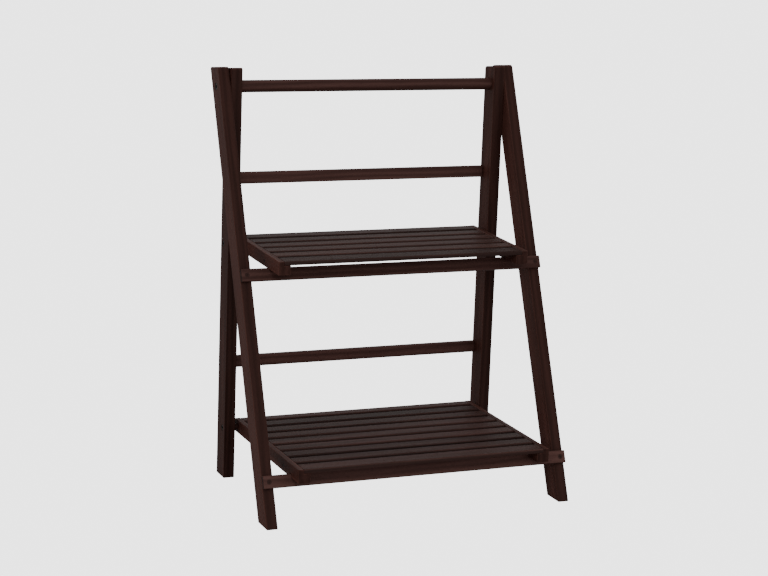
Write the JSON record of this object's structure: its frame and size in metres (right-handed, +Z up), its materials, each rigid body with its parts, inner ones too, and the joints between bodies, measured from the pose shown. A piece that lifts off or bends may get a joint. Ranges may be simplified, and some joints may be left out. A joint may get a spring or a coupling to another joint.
{
  "type": "plant ladder stand",
  "caption": "Folding wooden ladder stand: slatted shelves pivot on the rear legs, hook over front crossbars to hold the frame open, and swing up as it folds.",
  "frame": {"origin": "on the floor, under the middle of the stand's width and depth", "axes": "+X to the stand's right, +Y to its back, +Z up"},
  "size_m": [0.56, 0.3526, 0.7312],
  "materials": {
    "leg_wood": "dark brown stain, satin",
    "bar_wood": "dark brown stain, satin",
    "rail_wood": "dark brown stain, satin",
    "slat_wood": "dark brown stain, satin",
    "dark_steel": "blackened, satin"
  },
  "bodies": {
    "rear_frame": {"hinge_bolt_left": "dark_steel", "hinge_bolt_right": "dark_steel", "hinge_washer_left": "dark_steel", "hinge_washer_right": "dark_steel", "lower_pivot_bolt_left": "dark_steel", "lower_pivot_bolt_right": "dark_steel", "lower_pivot_nut_left": "dark_steel", "lower_pivot_nut_right": "dark_steel", "lower_pivot_spacer_left": "dark_steel", "lower_pivot_spacer_right": "dark_steel", "rear_bar_lower": "bar_wood", "rear_bar_lower_screw_left": "dark_steel", "rear_bar_lower_screw_right": "dark_steel", "rear_bar_upper": "bar_wood", "rear_bar_upper_screw_left": "dark_steel", "rear_bar_upper_screw_right": "dark_steel", "rear_leg_left": "leg_wood", "rear_leg_right": "leg_wood", "top_dowel": "bar_wood", "upper_pivot_bolt_left": "dark_steel", "upper_pivot_bolt_right": "dark_steel", "upper_pivot_nut_left": "dark_steel", "upper_pivot_nut_right": "dark_steel", "upper_pivot_spacer_left": "dark_steel", "upper_pivot_spacer_right": "dark_steel"},
    "front_frame": {"crossbar_lower": "bar_wood", "crossbar_lower_screw_left": "dark_steel", "crossbar_lower_screw_right": "dark_steel", "crossbar_upper": "bar_wood", "crossbar_upper_screw_left": "dark_steel", "crossbar_upper_screw_right": "dark_steel", "front_leg_left": "leg_wood", "front_leg_right": "leg_wood"},
    "upper_shelf": {"upper_shelf_rail_left": "rail_wood", "upper_shelf_rail_right": "rail_wood", "upper_shelf_screw_left": "dark_steel", "upper_shelf_screw_right": "dark_steel", "upper_shelf_stretcher": "rail_wood", "upper_slat_1": "slat_wood", "upper_slat_2": "slat_wood", "upper_slat_3": "slat_wood", "upper_slat_4": "slat_wood", "upper_slat_5": "slat_wood", "upper_slat_6": "slat_wood"},
    "lower_shelf": {"lower_shelf_rail_left": "rail_wood", "lower_shelf_rail_right": "rail_wood", "lower_shelf_screw_left": "dark_steel", "lower_shelf_screw_right": "dark_steel", "lower_shelf_stretcher": "rail_wood", "lower_slat_1": "slat_wood", "lower_slat_2": "slat_wood", "lower_slat_3": "slat_wood", "lower_slat_4": "slat_wood", "lower_slat_5": "slat_wood", "lower_slat_6": "slat_wood", "lower_slat_7": "slat_wood", "lower_slat_8": "slat_wood", "lower_slat_9": "slat_wood"}
  },
  "joints": [
    {"name": "fold", "type": "hinge", "parent": "rear_frame", "child": "front_frame", "pos_m": [0, 0.1473, 0.6975], "axis": [1, 0, 0], "range_deg": [0, 22.5]},
    {"name": "upper_shelf_pivot", "type": "hinge", "parent": "rear_frame", "child": "upper_shelf", "pos_m": [0, 0.1549, 0.42081], "axis": [-1, 0, 0], "range_deg": [0, 84.38]},
    {"name": "lower_shelf_pivot", "type": "hinge", "parent": "rear_frame", "child": "lower_shelf", "pos_m": [0, 0.1397, 0.0902], "axis": [-1, 0, 0], "range_deg": [0, 76.5]}
  ],
  "couplings": [
    {"joint": "upper_shelf_pivot", "follows": "fold", "ratio": 3.75},
    {"joint": "lower_shelf_pivot", "follows": "fold", "ratio": 3.4}
  ]
}
